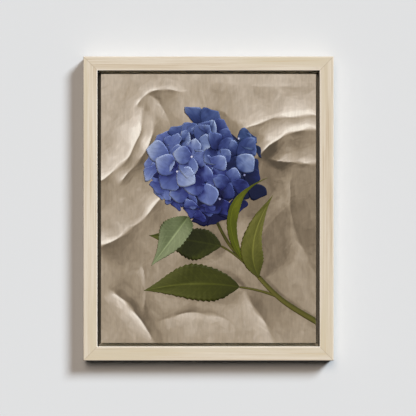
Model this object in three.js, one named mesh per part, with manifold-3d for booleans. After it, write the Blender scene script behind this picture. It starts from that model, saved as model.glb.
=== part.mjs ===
// A stretched canvas picture in a wooden floater frame, ready to hang on a wall.
// Units are millimetres. +Z is up, the picture faces -Y, and the wall is the plane y = 0.
// The origin is where the wall nail meets the sawtooth hanger, on the picture's centre line.
//
// Build-up from the wall to the front: felt wall pads, the L-shaped frame with its ledge,
// the folded edge of the canvas, the stretcher bars, the canvas face and the layer of paint.
// The canvas stands on the ledge and is screwed to it from behind, so an even gap floats round it.
import * as THREE from "three";
import { mergeVertices } from "three/addons/utils/BufferGeometryUtils.js";
import Module from "manifold-3d";

// ---- Driving dimensions -------------------------------------------------------------------
const CANVAS_WIDTH = 406.4; // a 16 x 20 inch canvas
const CANVAS_HEIGHT = 508;
const CLOTH = 0.8; // primed cotton canvas
const FOLD_BACK = 28; // how far the cloth is folded in behind the bars
const PAINT = 0.6;
const PAINT_MARGIN = 0.4; // the paint stops this short of the canvas edge

const FACE_WIDTH = 26.6; // the frame's front face
const FLOAT_GAP = 6.4; // open gap between the frame and the canvas
const FRAME_DEPTH = 36;
const LEDGE_THICKNESS = 10;
const LEDGE_OVERLAP = 13; // how far the ledge reaches in behind the canvas
const OUTER_EASE = 1.6; // radius of the face's outer edge
const INNER_EASE = 1.0; // radius of the face's inner edge
const MITRE_GAP = 0.08; // each mitred end stops this short of the mitre plane

const BAR_WIDTH = 38; // stretcher bars
const BAR_DEPTH = 19;
const BEAD_WIDTH = 5; // the raised outer bead that the cloth bears on
const BEAD_SLOPE = 4;
const BEAD_HEIGHT = 3;
const TONGUE_BACK = 10.4; // the corner tongue's place in the bar's depth
const TONGUE_THICKNESS = 4.4;

const FIT = 0.2; // gap between flat neighbours
const HOLE_GAP = 0.3; // gap round a fastener in its hole

const PAD_RADIUS = 6;
const PAD_THICKNESS = 3; // so the frame's back is this far off the wall
const PAD_INSET = 13; // pad centre from both outer edges of the frame

const SCREW_LENGTH = 25;
const SCREW_RADIUS = 1.6;
const SCREW_HEAD_RADIUS = 3.6;
const SCREW_HEAD_HEIGHT = 2.4;
const SCREW_INSET = 7; // from the canvas edge
const SCREWS_PER_SIDE = 2;
const SCREW_SPREAD = 0.6; // share of the canvas side between a side's outer screws
const DRIVE_WIDTH = 0.8; // the head's cross recess
const DRIVE_LENGTH = 4;
const DRIVE_DEPTH = 1.3;

const STAPLE_CROWN = 10;
const STAPLE_WIRE_WIDTH = 1.2;
const STAPLE_WIRE = 0.6;
const STAPLE_LEG = 8;
const STAPLE_INSET = 20; // from the canvas edge
const STAPLE_CORNER = 62; // the last staple from the canvas corner
const STAPLES_ACROSS = 5;
const STAPLES_UP = 6;

const KEY_THICKNESS = 3;
const KEY_IN = 20; // how far a key is driven into its bar
const KEY_OUT = 12; // how far its head stands out
const KEY_HEAD = 14;
const KEY_TIP = 5;
const KEY_LAYERS = [2.4, 6.4]; // the two keys of a corner lie at these depths in the bar
const KEY_CLEAR = 0.4; // from the neighbouring bar's inner edge

const MITRE_NAIL_LEG = 7;
const MITRE_NAIL_THICKNESS = 0.7;
const MITRE_NAIL_HEIGHT = 10;
const MITRE_NAIL_PLACE = 18.5; // apex from both outer edges, so it stays behind the deep face

const HANGER_LENGTH = 60;
const HANGER_HEIGHT = 12;
const HANGER_THICKNESS = 1;
const HANGER_TAB = 12;
const HANGER_RAMP = 3;
const HANGER_STAND_OFF = 1.3;
const HANGER_TEETH = 9;
const TOOTH_PITCH = 3;
const TOOTH_DEPTH = 2.4;
const HANGER_BELOW_TOP = 21; // the tooth roots from the frame's top edge
const HANGER_NAIL_RADIUS = 1;
const HANGER_NAIL_HEAD = 2.4;
const HANGER_NAIL_HEAD_HEIGHT = 0.8;
const HANGER_NAIL_LENGTH = 14;

const ROUND_SIDES = 32; // flat sides on a round pad
const FASTENER_SIDES = 16; // and on a screw or nail
const EASE_STEPS = 4; // along each eased edge
const OVERRUN = 1; // how far a cutting tool runs past a face

// ---- Worked-out dimensions -----------------------------------------------------------------
const FRAME_WIDTH = CANVAS_WIDTH + 2 * (FLOAT_GAP + FACE_WIDTH);
const FRAME_HEIGHT = CANVAS_HEIGHT + 2 * (FLOAT_GAP + FACE_WIDTH);
const LEDGE_WIDTH = FACE_WIDTH + FLOAT_GAP + LEDGE_OVERLAP;
const BAR_INSET = CLOTH + FIT; // the bars' outer edge from the canvas's outer edge
const CENTRE_Z = HANGER_BELOW_TOP - FRAME_HEIGHT / 2;

// Distances from the wall.
const FRAME_BACK = PAD_THICKNESS;
const LEDGE_FRONT = FRAME_BACK + LEDGE_THICKNESS;
const CLOTH_BACK = LEDGE_FRONT + FIT;
const BAR_BACK = CLOTH_BACK + CLOTH + FIT;
const CLOTH_INSIDE = BAR_BACK + BAR_DEPTH + FIT;
const CLOTH_FRONT = CLOTH_INSIDE + CLOTH;
const PAINT_BACK = CLOTH_FRONT + FIT;

const materials = {
  frameWood: new THREE.MeshStandardMaterial({ color: 0xdccdb6, roughness: 0.6, metalness: 0 }),
  barWood: new THREE.MeshStandardMaterial({ color: 0xd9b98a, roughness: 0.75, metalness: 0 }),
  cloth: new THREE.MeshStandardMaterial({ color: 0xe6e0d2, roughness: 0.9, metalness: 0 }),
  paint: new THREE.MeshStandardMaterial({ color: 0xa3917b, roughness: 0.55, metalness: 0 }),
  steel: new THREE.MeshStandardMaterial({ color: 0xb9b9bc, roughness: 0.35, metalness: 1 }),
  felt: new THREE.MeshStandardMaterial({ color: 0x4b4843, roughness: 1, metalness: 0 }),
};

// ---- Cutting and joining ------------------------------------------------------------------
const wasm = await Module();
wasm.setup();

function solidOf(geometry) {
  const bare = geometry.clone();
  bare.deleteAttribute("normal");
  bare.deleteAttribute("uv");
  const merged = mergeVertices(bare, 1e-4);
  return new wasm.Manifold(
    new wasm.Mesh({
      numProp: 3,
      vertProperties: merged.attributes.position.array,
      triVerts: new Uint32Array(merged.index.array),
    }),
  );
}

function geometryOf(solid) {
  const { vertProperties, triVerts } = solid.getMesh();
  const geometry = new THREE.BufferGeometry();
  geometry.setAttribute("position", new THREE.BufferAttribute(vertProperties, 3));
  geometry.setIndex(new THREE.BufferAttribute(triVerts, 1));
  return geometry;
}

function cut(geometry, tools) {
  return geometryOf(tools.reduce((solid, tool) => solid.subtract(solidOf(tool)), solidOf(geometry)));
}

// A box between two corners, given as [low, high] along each axis.
function block([x0, x1], [y0, y1], [z0, z1]) {
  const box = new THREE.BoxGeometry(x1 - x0, y1 - y0, z1 - z0);
  return box.translate((x0 + x1) / 2, (y0 + y1) / 2, (z0 + z1) / 2);
}

// Depths run forward from the wall, along -Y.
const depths = (back, front) => [-front, -back];

// ---- Mitred mouldings ---------------------------------------------------------------------
// The four sides are made as a top side, centred on the picture, and turned by quarter turns:
// 0 top, 1 right, 2 bottom, 3 left. Side k meets side k + 1 at its +X end.
const SIDES = ["top", "right", "bottom", "left"];
const CORNERS = ["top_right", "bottom_right", "bottom_left", "top_left"];
const ENDS = ["left", "right"];
const isUpright = (side) => side % 2 === 1;
const lengthOf = (side, width, height) => (isUpright(side) ? height : width);
const reachOf = (side, width, height) => (isUpright(side) ? width : height) / 2;
const quarterTurns = (geometry, side) => geometry.clone().rotateY((side * Math.PI) / 2);

// profile: a shape with x inward from the outer edge and y forward from the back.
function mitred(profile, length, reach, back) {
  const options = { depth: length, bevelEnabled: false, curveSegments: EASE_STEPS };
  const bar = new THREE.ExtrudeGeometry(profile, options);
  const at = bar.attributes.position;
  for (let i = 0; i < at.count; i += 1) {
    const inward = at.getX(i);
    const forward = at.getY(i);
    const end = at.getZ(i) > length / 2 ? 1 : -1;
    at.setXYZ(i, -end * (length / 2 - inward - MITRE_GAP), -back - forward, reach - inward);
  }
  return bar;
}

function railProfile() {
  const shape = new THREE.Shape();
  shape.moveTo(0, 0);
  shape.lineTo(LEDGE_WIDTH, 0);
  shape.lineTo(LEDGE_WIDTH, LEDGE_THICKNESS);
  shape.lineTo(FACE_WIDTH, LEDGE_THICKNESS);
  shape.lineTo(FACE_WIDTH, FRAME_DEPTH - INNER_EASE);
  shape.absarc(FACE_WIDTH - INNER_EASE, FRAME_DEPTH - INNER_EASE, INNER_EASE, 0, Math.PI / 2, false);
  shape.lineTo(OUTER_EASE, FRAME_DEPTH);
  shape.absarc(OUTER_EASE, FRAME_DEPTH - OUTER_EASE, OUTER_EASE, Math.PI / 2, Math.PI, false);
  shape.closePath();
  return shape;
}

function barProfile() {
  const low = BAR_DEPTH - BEAD_HEIGHT;
  const shape = new THREE.Shape();
  shape.moveTo(0, 0);
  shape.lineTo(BAR_WIDTH, 0);
  shape.lineTo(BAR_WIDTH, low);
  shape.lineTo(BEAD_WIDTH + BEAD_SLOPE, low);
  shape.lineTo(BEAD_WIDTH, BAR_DEPTH);
  shape.lineTo(0, BAR_DEPTH);
  shape.closePath();
  return shape;
}

// ---- Fasteners and what they leave in the wood --------------------------------------------
// Turned fasteners lie along Y with the underside of the head's rim at y = 0, pointing to -Y.
function turned(points) {
  return new THREE.LatheGeometry(points.map(([radius, y]) => new THREE.Vector2(radius, y)), FASTENER_SIDES);
}

// A fastener's hole is the fastener itself, grown by the clearance.
function screwBlank(grow) {
  return turned([
    [0, -SCREW_LENGTH - grow],
    [SCREW_RADIUS + grow, -SCREW_LENGTH + 2 * SCREW_RADIUS - grow],
    [SCREW_RADIUS + grow, -SCREW_HEAD_HEIGHT - grow],
    [SCREW_HEAD_RADIUS + grow, 0],
    [0, 0],
  ]);
}

function screw() {
  const half = DRIVE_WIDTH / 2;
  const arm = DRIVE_LENGTH / 2;
  const depth = [-DRIVE_DEPTH, OVERRUN];
  const level = block([-arm, arm], depth, [-half, half]);
  const upright = block([-half, half], depth, [-arm, arm]);
  return cut(screwBlank(0), [level, upright]);
}

// The hole runs on past the back, so that its mouth is cut cleanly.
function screwHole() {
  const mouth = mouthOf(SCREW_HEAD_RADIUS + HOLE_GAP, FIT);
  return geometryOf(solidOf(screwBlank(HOLE_GAP)).add(solidOf(mouth)));
}

// A short round tool from a given depth to past the back.
const mouthOf = (radius, depth) => turned([[0, -depth], [radius, -depth], [radius, OVERRUN], [0, OVERRUN]]);

// A staple's crown lies along X, with its legs pointing to -Y. Its back is at y = 0.
function staple() {
  const end = STAPLE_CROWN / 2;
  const shape = new THREE.Shape();
  shape.moveTo(-end, 0);
  shape.lineTo(-end, -STAPLE_LEG);
  shape.lineTo(-end + STAPLE_WIRE, -STAPLE_LEG);
  shape.lineTo(-end + STAPLE_WIRE, -STAPLE_WIRE);
  shape.lineTo(end - STAPLE_WIRE, -STAPLE_WIRE);
  shape.lineTo(end - STAPLE_WIRE, -STAPLE_LEG);
  shape.lineTo(end, -STAPLE_LEG);
  shape.lineTo(end, 0);
  shape.closePath();
  const wire = new THREE.ExtrudeGeometry(shape, { depth: STAPLE_WIRE_WIDTH, bevelEnabled: false });
  return wire.translate(0, 0, -STAPLE_WIRE_WIDTH / 2);
}

function stapleHoles() {
  const halfWidth = STAPLE_WIRE_WIDTH / 2 + HOLE_GAP;
  return [-1, 1].map((end) => {
    const outer = (end * STAPLE_CROWN) / 2;
    const inner = outer - end * STAPLE_WIRE;
    const across = [Math.min(outer, inner) - HOLE_GAP, Math.max(outer, inner) + HOLE_GAP];
    return block(across, [-STAPLE_LEG - HOLE_GAP, OVERRUN], [-halfWidth, halfWidth]);
  });
}

// A stretcher key lies flat in XZ with its tip up and its straight edge on x = 0, on the -X side.
function key(grow) {
  const shape = new THREE.Shape();
  shape.moveTo(grow, -KEY_OUT);
  shape.lineTo(grow, KEY_IN + grow);
  shape.lineTo(-KEY_TIP - grow, KEY_IN + grow);
  shape.lineTo(-KEY_HEAD - grow, -KEY_OUT);
  shape.closePath();
  const wedge = new THREE.ExtrudeGeometry(shape, { depth: KEY_THICKNESS + 2 * grow, bevelEnabled: false });
  return wedge.rotateX(Math.PI / 2).translate(0, grow, 0);
}

// A folded V of steel strip, with its apex at the origin and its legs at 45 degrees to the mitre.
function mitreNail(grow) {
  const leg = MITRE_NAIL_LEG + grow;
  const thick = MITRE_NAIL_THICKNESS + grow;
  const shape = new THREE.Shape();
  shape.moveTo(grow, grow);
  shape.lineTo(grow, -leg);
  shape.lineTo(-thick, -leg);
  shape.lineTo(-thick, -thick);
  shape.lineTo(-leg, -thick);
  shape.lineTo(-leg, grow);
  shape.closePath();
  const depth = MITRE_NAIL_HEIGHT + 2 * grow;
  const strip = new THREE.ExtrudeGeometry(shape, { depth, bevelEnabled: false });
  return strip.rotateX(Math.PI / 2).translate(0, grow, 0);
}

// ---- Where the fasteners go, in a top side's own frame ------------------------------------
function screwPlaces(side) {
  const length = lengthOf(side, CANVAS_WIDTH, CANVAS_HEIGHT);
  const z = reachOf(side, CANVAS_WIDTH, CANVAS_HEIGHT) - SCREW_INSET;
  return Array.from({ length: SCREWS_PER_SIDE }, (_, i) => {
    const share = i / (SCREWS_PER_SIDE - 1) - 0.5;
    return new THREE.Vector3(share * SCREW_SPREAD * length, -FRAME_BACK - FIT, z);
  });
}

function staplePlaces(side) {
  const count = isUpright(side) ? STAPLES_UP : STAPLES_ACROSS;
  const run = lengthOf(side, CANVAS_WIDTH, CANVAS_HEIGHT) - 2 * STAPLE_CORNER;
  const z = reachOf(side, CANVAS_WIDTH, CANVAS_HEIGHT) - STAPLE_INSET;
  return Array.from({ length: count }, (_, i) => {
    const x = (i / (count - 1) - 0.5) * run;
    return new THREE.Vector3(x, -CLOTH_BACK + STAPLE_WIRE + FIT / 2, z);
  });
}

// The inner corner of the bars at a side's +X end.
function innerCorner(side) {
  const inset = 2 * BAR_INSET;
  return new THREE.Vector2(
    (lengthOf(side, CANVAS_WIDTH, CANVAS_HEIGHT) - inset) / 2 - BAR_WIDTH,
    reachOf(side, CANVAS_WIDTH, CANVAS_HEIGHT) - BAR_INSET - BAR_WIDTH,
  );
}

// Driven into this side's bar at its +X end (end = 1) or its -X end (end = -1).
function keyAt(side, end, layer, grow) {
  const inner = innerCorner(side);
  const wedge = key(grow).translate(inner.x - KEY_CLEAR, -BAR_BACK - layer, inner.y);
  return end > 0 ? wedge : mirrored(wedge);
}

// Left to right: an extrusion's triangles are three vertices each, so two are swapped to face out.
function mirrored(extrusion) {
  const flipped = extrusion.clone().scale(-1, 1, 1);
  const at = flipped.attributes.position;
  const first = new THREE.Vector3();
  const second = new THREE.Vector3();
  for (let i = 0; i < at.count; i += 3) {
    first.fromBufferAttribute(at, i);
    second.fromBufferAttribute(at, i + 1);
    at.setXYZ(i, second.x, second.y, second.z);
    at.setXYZ(i + 1, first.x, first.y, first.z);
  }
  return flipped;
}

function mitreNailAt(side, end, grow) {
  const x = lengthOf(side, FRAME_WIDTH, FRAME_HEIGHT) / 2 - MITRE_NAIL_PLACE;
  const z = reachOf(side, FRAME_WIDTH, FRAME_HEIGHT) - MITRE_NAIL_PLACE;
  const nail = mitreNail(grow).translate(x, -FRAME_BACK - FIT, z);
  return end > 0 ? nail : mirrored(nail);
}

const placed = (geometry, place) => geometry.clone().translate(place.x, place.y, place.z);

// ---- The pieces ---------------------------------------------------------------------------
const picture = new THREE.Group();
picture.position.z = CENTRE_Z;

function addMesh(name, geometry, material) {
  const mesh = new THREE.Mesh(geometry, material);
  mesh.name = name;
  picture.add(mesh);
  return mesh;
}

const addToSide = (side, name, geometry, material) => {
  addMesh(name, geometry, material).rotation.y = (side * Math.PI) / 2;
};

// Frame rails: mitred L mouldings with screw holes in the ledge and slots for the mitre nails.
function addRail(side) {
  const length = lengthOf(side, FRAME_WIDTH, FRAME_HEIGHT);
  const reach = reachOf(side, FRAME_WIDTH, FRAME_HEIGHT);
  const rail = mitred(railProfile(), length, reach, FRAME_BACK);
  const holes = screwPlaces(side).map((place) => placed(screwHole(), place));
  const slots = [-1, 1].map((end) => mitreNailAt(side, end, HOLE_GAP));
  const hangerPlaces = side === 0 ? hangerNailPlaces() : [];
  const hangerHoles = hangerPlaces.map((place) => placed(hangerNail(HOLE_GAP), place));
  const body = cut(rail, [...holes, ...slots, ...hangerHoles]);
  addToSide(side, `frame_rail_${SIDES[side]}`, body, materials.frameWood);
  addToSide(side, `mitre_nail_${CORNERS[side]}`, mitreNailAt(side, 1, 0), materials.steel);
}

// Stretcher bars: the top and bottom bars have a tongue at each end, and the uprights the slot for it.
function addBar(side) {
  const length = lengthOf(side, CANVAS_WIDTH, CANVAS_HEIGHT) - 2 * BAR_INSET;
  const reach = reachOf(side, CANVAS_WIDTH, CANVAS_HEIGHT) - BAR_INSET;
  const bar = mitred(barProfile(), length, reach, BAR_BACK);
  const inner = innerCorner(side);
  const cornerSquare = (end, grow) => {
    const from = inner.x - grow;
    const to = length / 2 - HOLE_GAP + 3 * grow;
    const across = end > 0 ? [from, to] : [-to, -from];
    const depth = depths(BAR_BACK + TONGUE_BACK - grow, BAR_BACK + TONGUE_BACK + TONGUE_THICKNESS + grow);
    return block(across, depth, [inner.y - grow, reach - HOLE_GAP + 3 * grow]);
  };
  let solid = solidOf(bar);
  for (const end of [-1, 1]) {
    solid = isUpright(side)
      ? solid.subtract(solidOf(cornerSquare(end, HOLE_GAP)))
      : solid.add(solidOf(cornerSquare(end, 0)));
  }
  const tools = [
    keyAt(side, 1, KEY_LAYERS[1], HOLE_GAP),
    keyAt(side, -1, KEY_LAYERS[0], HOLE_GAP),
    ...screwPlaces(side).map((place) => placed(screwHole(), place)),
    ...staplePlaces(side).flatMap((place) => stapleHoles().map((hole) => placed(hole, place))),
  ];
  addToSide(side, `stretcher_bar_${SIDES[side]}`, cut(geometryOf(solid), tools), materials.barWood);
  addToSide(side, `corner_key_${SIDES[side]}_1`, keyAt(side, -1, KEY_LAYERS[0], 0), materials.barWood);
  addToSide(side, `corner_key_${SIDES[side]}_2`, keyAt(side, 1, KEY_LAYERS[1], 0), materials.barWood);
}

function addFasteners(side) {
  screwPlaces(side).forEach((place, i) => {
    addToSide(side, `fixing_screw_${SIDES[side]}_${i + 1}`, placed(screw(), place), materials.steel);
  });
  staplePlaces(side).forEach((place, i) => {
    addToSide(side, `staple_${SIDES[side]}_${i + 1}`, placed(staple(), place), materials.steel);
  });
}

// The canvas: one cloth over the front and sides of the bars, folded in behind them.
function addCanvas() {
  const span = (size) => [-size / 2, size / 2];
  const inside = 2 * CLOTH;
  const window = 2 * FOLD_BACK;
  const wrap = block(span(CANVAS_WIDTH), depths(CLOTH_BACK, CLOTH_FRONT), span(CANVAS_HEIGHT));
  const hollow = block(
    span(CANVAS_WIDTH - inside),
    depths(CLOTH_BACK + CLOTH, CLOTH_INSIDE),
    span(CANVAS_HEIGHT - inside),
  );
  const opening = block(
    span(CANVAS_WIDTH - window),
    depths(CLOTH_BACK - OVERRUN, CLOTH_INSIDE - OVERRUN),
    span(CANVAS_HEIGHT - window),
  );
  const holes = SIDES.flatMap((_, side) => {
    const screws = screwPlaces(side).map((place) => placed(screwHole(), place));
    const staples = staplePlaces(side).flatMap((place) =>
      stapleHoles().map((hole) => placed(hole, place)),
    );
    return [...screws, ...staples].map((hole) => quarterTurns(hole, side));
  });
  addMesh("canvas", cut(wrap, [hollow, opening, ...holes]), materials.cloth);
}

function addPaint() {
  const half = (size) => size / 2 - PAINT_MARGIN;
  const width = half(CANVAS_WIDTH);
  const height = half(CANVAS_HEIGHT);
  const film = block([-width, width], depths(PAINT_BACK, PAINT_BACK + PAINT), [-height, height]);
  addMesh("paint_layer", film, materials.paint);
}

// The hanger: a steel strip nailed to the top rail at both ends, its toothed middle standing off it.
const hangerTop = () => -CENTRE_Z + HANGER_HEIGHT - TOOTH_DEPTH;

function hangerNailPlaces() {
  const x = (HANGER_LENGTH - HANGER_TAB) / 2;
  const z = hangerTop() - HANGER_HEIGHT / 2;
  return [-x, x].map((at) => new THREE.Vector3(at, -FRAME_BACK + HANGER_THICKNESS + 2 * FIT, z));
}

function hangerNail(grow) {
  return turned([
    [0, -HANGER_NAIL_LENGTH - grow],
    [HANGER_NAIL_RADIUS + grow, -HANGER_NAIL_LENGTH + 2 * HANGER_NAIL_RADIUS - grow],
    [HANGER_NAIL_RADIUS + grow, 0],
    [HANGER_NAIL_HEAD, 0],
    [HANGER_NAIL_HEAD, HANGER_NAIL_HEAD_HEIGHT / 2],
    [HANGER_NAIL_HEAD / 2, HANGER_NAIL_HEAD_HEIGHT],
    [0, HANGER_NAIL_HEAD_HEIGHT],
  ]);
}

function hangerOutline() {
  const end = HANGER_LENGTH / 2;
  const foot = end - HANGER_TAB;
  const raised = foot - HANGER_RAMP;
  const low = -FRAME_BACK + FIT;
  const high = low + HANGER_STAND_OFF;
  const under = [[-end, low], [-foot, low], [-raised, high], [raised, high], [foot, low], [end, low]];
  const over = under.map(([x, y]) => [x, y + HANGER_THICKNESS]).reverse();
  return new THREE.Shape([...under, ...over].map(([x, y]) => new THREE.Vector2(x, y)));
}

function toothNotch(x, edge) {
  const half = TOOTH_PITCH / 2 - FIT;
  const notch = new THREE.Shape();
  notch.moveTo(x - half, edge - OVERRUN);
  notch.lineTo(x + half, edge - OVERRUN);
  notch.lineTo(x, edge + TOOTH_DEPTH);
  notch.closePath();
  const prism = new THREE.ExtrudeGeometry(notch, { depth: FRAME_BACK, bevelEnabled: false });
  return prism.rotateX(Math.PI / 2);
}

function addHanger() {
  const edge = hangerTop() - HANGER_HEIGHT;
  const strip = new THREE.ExtrudeGeometry(hangerOutline(), { depth: HANGER_HEIGHT, bevelEnabled: false });
  const notches = Array.from({ length: HANGER_TEETH }, (_, i) =>
    toothNotch((i - (HANGER_TEETH - 1) / 2) * TOOTH_PITCH, edge),
  );
  const shankHole = mouthOf(HANGER_NAIL_RADIUS + HOLE_GAP, FRAME_BACK);
  const nailHoles = hangerNailPlaces().map((place) => placed(shankHole, place));
  const hanger = cut(strip.translate(0, 0, edge), [...notches, ...nailHoles]);
  addMesh("sawtooth_hanger", hanger, materials.steel);
  hangerNailPlaces().forEach((place, i) => {
    addMesh(`hanger_nail_${ENDS[i]}`, placed(hangerNail(0), place), materials.steel);
  });
}

// Felt pads keep the foot of the frame off the wall, as far out as the hanger holds its head.
function addPads() {
  const x = FRAME_WIDTH / 2 - PAD_INSET;
  const z = PAD_INSET - FRAME_HEIGHT / 2;
  const thickness = PAD_THICKNESS - FIT;
  [-x, x].forEach((at, i) => {
    const pad = new THREE.CylinderGeometry(PAD_RADIUS, PAD_RADIUS, thickness, ROUND_SIDES);
    addMesh(`wall_pad_${ENDS[i]}`, pad.translate(at, -thickness / 2, z), materials.felt);
  });
}

SIDES.forEach((_, side) => {
  addRail(side);
  addBar(side);
  addFasteners(side);
});
addCanvas();
addPaint();
addHanger();
addPads();

const framedPicture = new THREE.Group();
framedPicture.add(picture);

export default framedPicture;
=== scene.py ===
# A stretched canvas, painted with a sprig of blue hydrangea on draped linen, in a pale wooden
# floater frame. Metres, +Z up, the picture faces -Y and the wall is the plane y = 0.
import math
import random

import bpy
import numpy as np
from mathutils import Matrix, Vector, noise
from mathutils.bvhtree import BVHTree


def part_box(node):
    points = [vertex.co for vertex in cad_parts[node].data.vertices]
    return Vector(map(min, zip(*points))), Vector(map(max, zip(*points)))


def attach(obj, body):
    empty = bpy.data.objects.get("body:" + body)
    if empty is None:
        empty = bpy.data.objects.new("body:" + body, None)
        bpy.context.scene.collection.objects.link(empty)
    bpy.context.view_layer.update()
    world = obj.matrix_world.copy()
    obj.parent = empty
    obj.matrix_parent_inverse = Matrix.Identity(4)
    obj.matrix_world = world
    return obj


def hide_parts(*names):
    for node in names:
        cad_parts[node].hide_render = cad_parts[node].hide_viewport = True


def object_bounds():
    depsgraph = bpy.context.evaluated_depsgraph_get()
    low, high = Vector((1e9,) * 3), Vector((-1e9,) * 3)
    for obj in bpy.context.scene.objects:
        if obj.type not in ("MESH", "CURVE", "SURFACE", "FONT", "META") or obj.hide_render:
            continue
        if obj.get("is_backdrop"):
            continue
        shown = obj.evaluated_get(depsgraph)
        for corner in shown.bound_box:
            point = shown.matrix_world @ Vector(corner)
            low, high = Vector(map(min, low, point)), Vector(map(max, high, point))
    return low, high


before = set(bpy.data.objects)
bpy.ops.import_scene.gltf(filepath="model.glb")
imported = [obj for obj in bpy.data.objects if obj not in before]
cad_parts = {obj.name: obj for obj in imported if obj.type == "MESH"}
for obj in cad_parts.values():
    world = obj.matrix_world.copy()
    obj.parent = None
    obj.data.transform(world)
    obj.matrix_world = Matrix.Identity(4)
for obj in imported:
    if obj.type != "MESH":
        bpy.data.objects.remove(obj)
cad_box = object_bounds()

# ---- Frame rails --------------------------------------------------------------------------
# Four mitred lengths of L-shaped floater moulding, in pale maple under a clear matt coat, glued
# and nailed at the corners. The step that the canvas floats in is stained dark, deepest on the
# uprights; its paler tone on the top and bottom rails, and a little on the right, is painted light
# in the shaded gap. The eased front edges carry a painted highlight.
MM = 0.001
FACE_WIDTH = 26.6 * MM
EASED = 1.2 * MM  # roundness of the moulding's front edges
STAIN_END = 9.5 * MM  # from the frame's back, which takes the stain just over the ledge's edge
RAILS = {"top": "X", "bottom": "X", "left": "Z", "right": "Z"}

frame_low = Vector(min(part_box(f"frame_rail_{side}")[0][k] for side in RAILS) for k in range(3))
frame_high = Vector(max(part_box(f"frame_rail_{side}")[1][k] for side in RAILS) for k in range(3))
frame_middle = (frame_low + frame_high) / 2
frame_size = frame_high - frame_low


def seen_as(red, green, blue):
    """The colour of a surface that shows as these 0 to 255 values in the studio light."""
    studio_light = 0.93
    shares = [value / 255 for value in (red, green, blue)]
    linear = [s / 12.92 if s < 0.04045 else ((s + 0.055) / 1.055) ** 2.4 for s in shares]
    return (*[value / studio_light for value in linear], 1.0)


class Wire:
    """A socket that a node gives out. Arithmetic on it adds Math nodes."""

    def __init__(self, nodes, socket):
        self.nodes = nodes
        self.socket = socket

    def math(self, operation, *terms):
        return self.nodes.node("ShaderNodeMath", {"operation": operation}, dict(enumerate(terms)))

    def __add__(self, other):
        return self.math("ADD", self, other)

    def __sub__(self, other):
        return self.math("SUBTRACT", self, other)

    def __rsub__(self, other):
        return self.math("SUBTRACT", other, self)

    def __mul__(self, other):
        return self.math("MULTIPLY", self, other)

    def __gt__(self, other):
        return self.math("GREATER_THAN", self, other)

    def __lt__(self, other):
        return self.math("LESS_THAN", self, other)

    def __abs__(self):
        return self.math("ABSOLUTE", self)

    def sine(self):
        return self.math("SINE", self)

    def lower_of(self, other):
        return self.math("MINIMUM", self, other)

    def higher_of(self, other):
        return self.math("MAXIMUM", self, other)

    __radd__ = __add__
    __rmul__ = __mul__


class Nodes:
    """A tree of nodes, which grows by one node at a time."""

    def __init__(self, tree):
        self.tree = tree

    def node(self, kind, settings=None, inputs=None, output=0):
        node = self.tree.nodes.new(kind)
        for name, value in (settings or {}).items():
            if name == "stops":
                self.set_stops(node.color_ramp, value)
            else:
                setattr(node, name, value)
        for name, value in (inputs or {}).items():
            self.join(node.inputs[name], value)
        return Wire(self, node.outputs[output])

    def set_stops(self, ramp, stops):
        while len(ramp.elements) < len(stops):
            ramp.elements.new(1.0)
        for element, (place, colour) in zip(ramp.elements, stops):
            element.position = place
            element.color = colour

    def join(self, socket, value):
        if isinstance(value, Wire):
            self.tree.links.new(value.socket, socket)
        else:
            socket.default_value = value


class Finish(Nodes):
    """A material, round the principled shader that it starts with."""

    def __init__(self, name, gloss=0.3, metal=0.0):
        self.material = bpy.data.materials.new(name)
        self.material.use_nodes = True
        super().__init__(self.material.node_tree)
        self.shader = self.tree.nodes["Principled BSDF"]
        self.shader.inputs["Specular IOR Level"].default_value = gloss
        self.shader.inputs["Metallic"].default_value = metal

    def place(self):
        return self.node("ShaderNodeTexCoord", output="Object")

    def stretched(self, vector, scale, location=(0, 0, 0)):
        inputs = {"Vector": vector, "Location": location, "Scale": scale}
        return self.node("ShaderNodeMapping", None, inputs)

    def noise(self, vector, scale=1.0, detail=3.0, roughness=0.55, distortion=0.0):
        inputs = {"Vector": vector, "Scale": scale, "Detail": detail, "Roughness": roughness}
        return self.node("ShaderNodeTexNoise", None, {**inputs, "Distortion": distortion})

    def grain(self, place, axis, along_scale, across_scale, shift, **settings):
        """Noise drawn out along an axis, as the fibres of wood run."""
        return self.noise(self.stretched(place, along(axis, along_scale, across_scale), shift), **settings)

    def axes(self, vector):
        return [self.node("ShaderNodeSeparateXYZ", None, {"Vector": vector}, k) for k in range(3)]

    def rising(self, value, low, high):
        settings = {"interpolation_type": "SMOOTHSTEP"}
        return self.node("ShaderNodeMapRange", settings, {"Value": value, "From Min": low, "From Max": high})

    def ramp(self, value, *stops):
        return self.node("ShaderNodeValToRGB", {"stops": stops}, {"Fac": value})

    def mix(self, first, second, share, blend="MIX"):
        settings = {"data_type": "RGBA", "blend_type": blend}
        return self.node("ShaderNodeMix", settings, {"Factor": share, 6: first, 7: second}, 2)

    def show(self, colour, roughness=None, height=None, depth=0.2 * MM, strength=0.5):
        self.join(self.shader.inputs["Base Color"], colour)
        if roughness is not None:
            self.join(self.shader.inputs["Roughness"], roughness)
        if height is not None:
            inputs = {"Height": height, "Distance": depth, "Strength": strength}
            self.join(self.shader.inputs["Normal"], self.node("ShaderNodeBump", None, inputs))
        return self.material


def along(axis, along_scale, across_scale):
    """Mapping scales for a grain that runs along an axis."""
    return tuple(along_scale if name == axis else across_scale for name in "XYZ")


def coat(obj, material):
    """Gives a piece one material all over."""
    obj.data.materials.clear()
    obj.data.materials.append(material)


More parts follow.
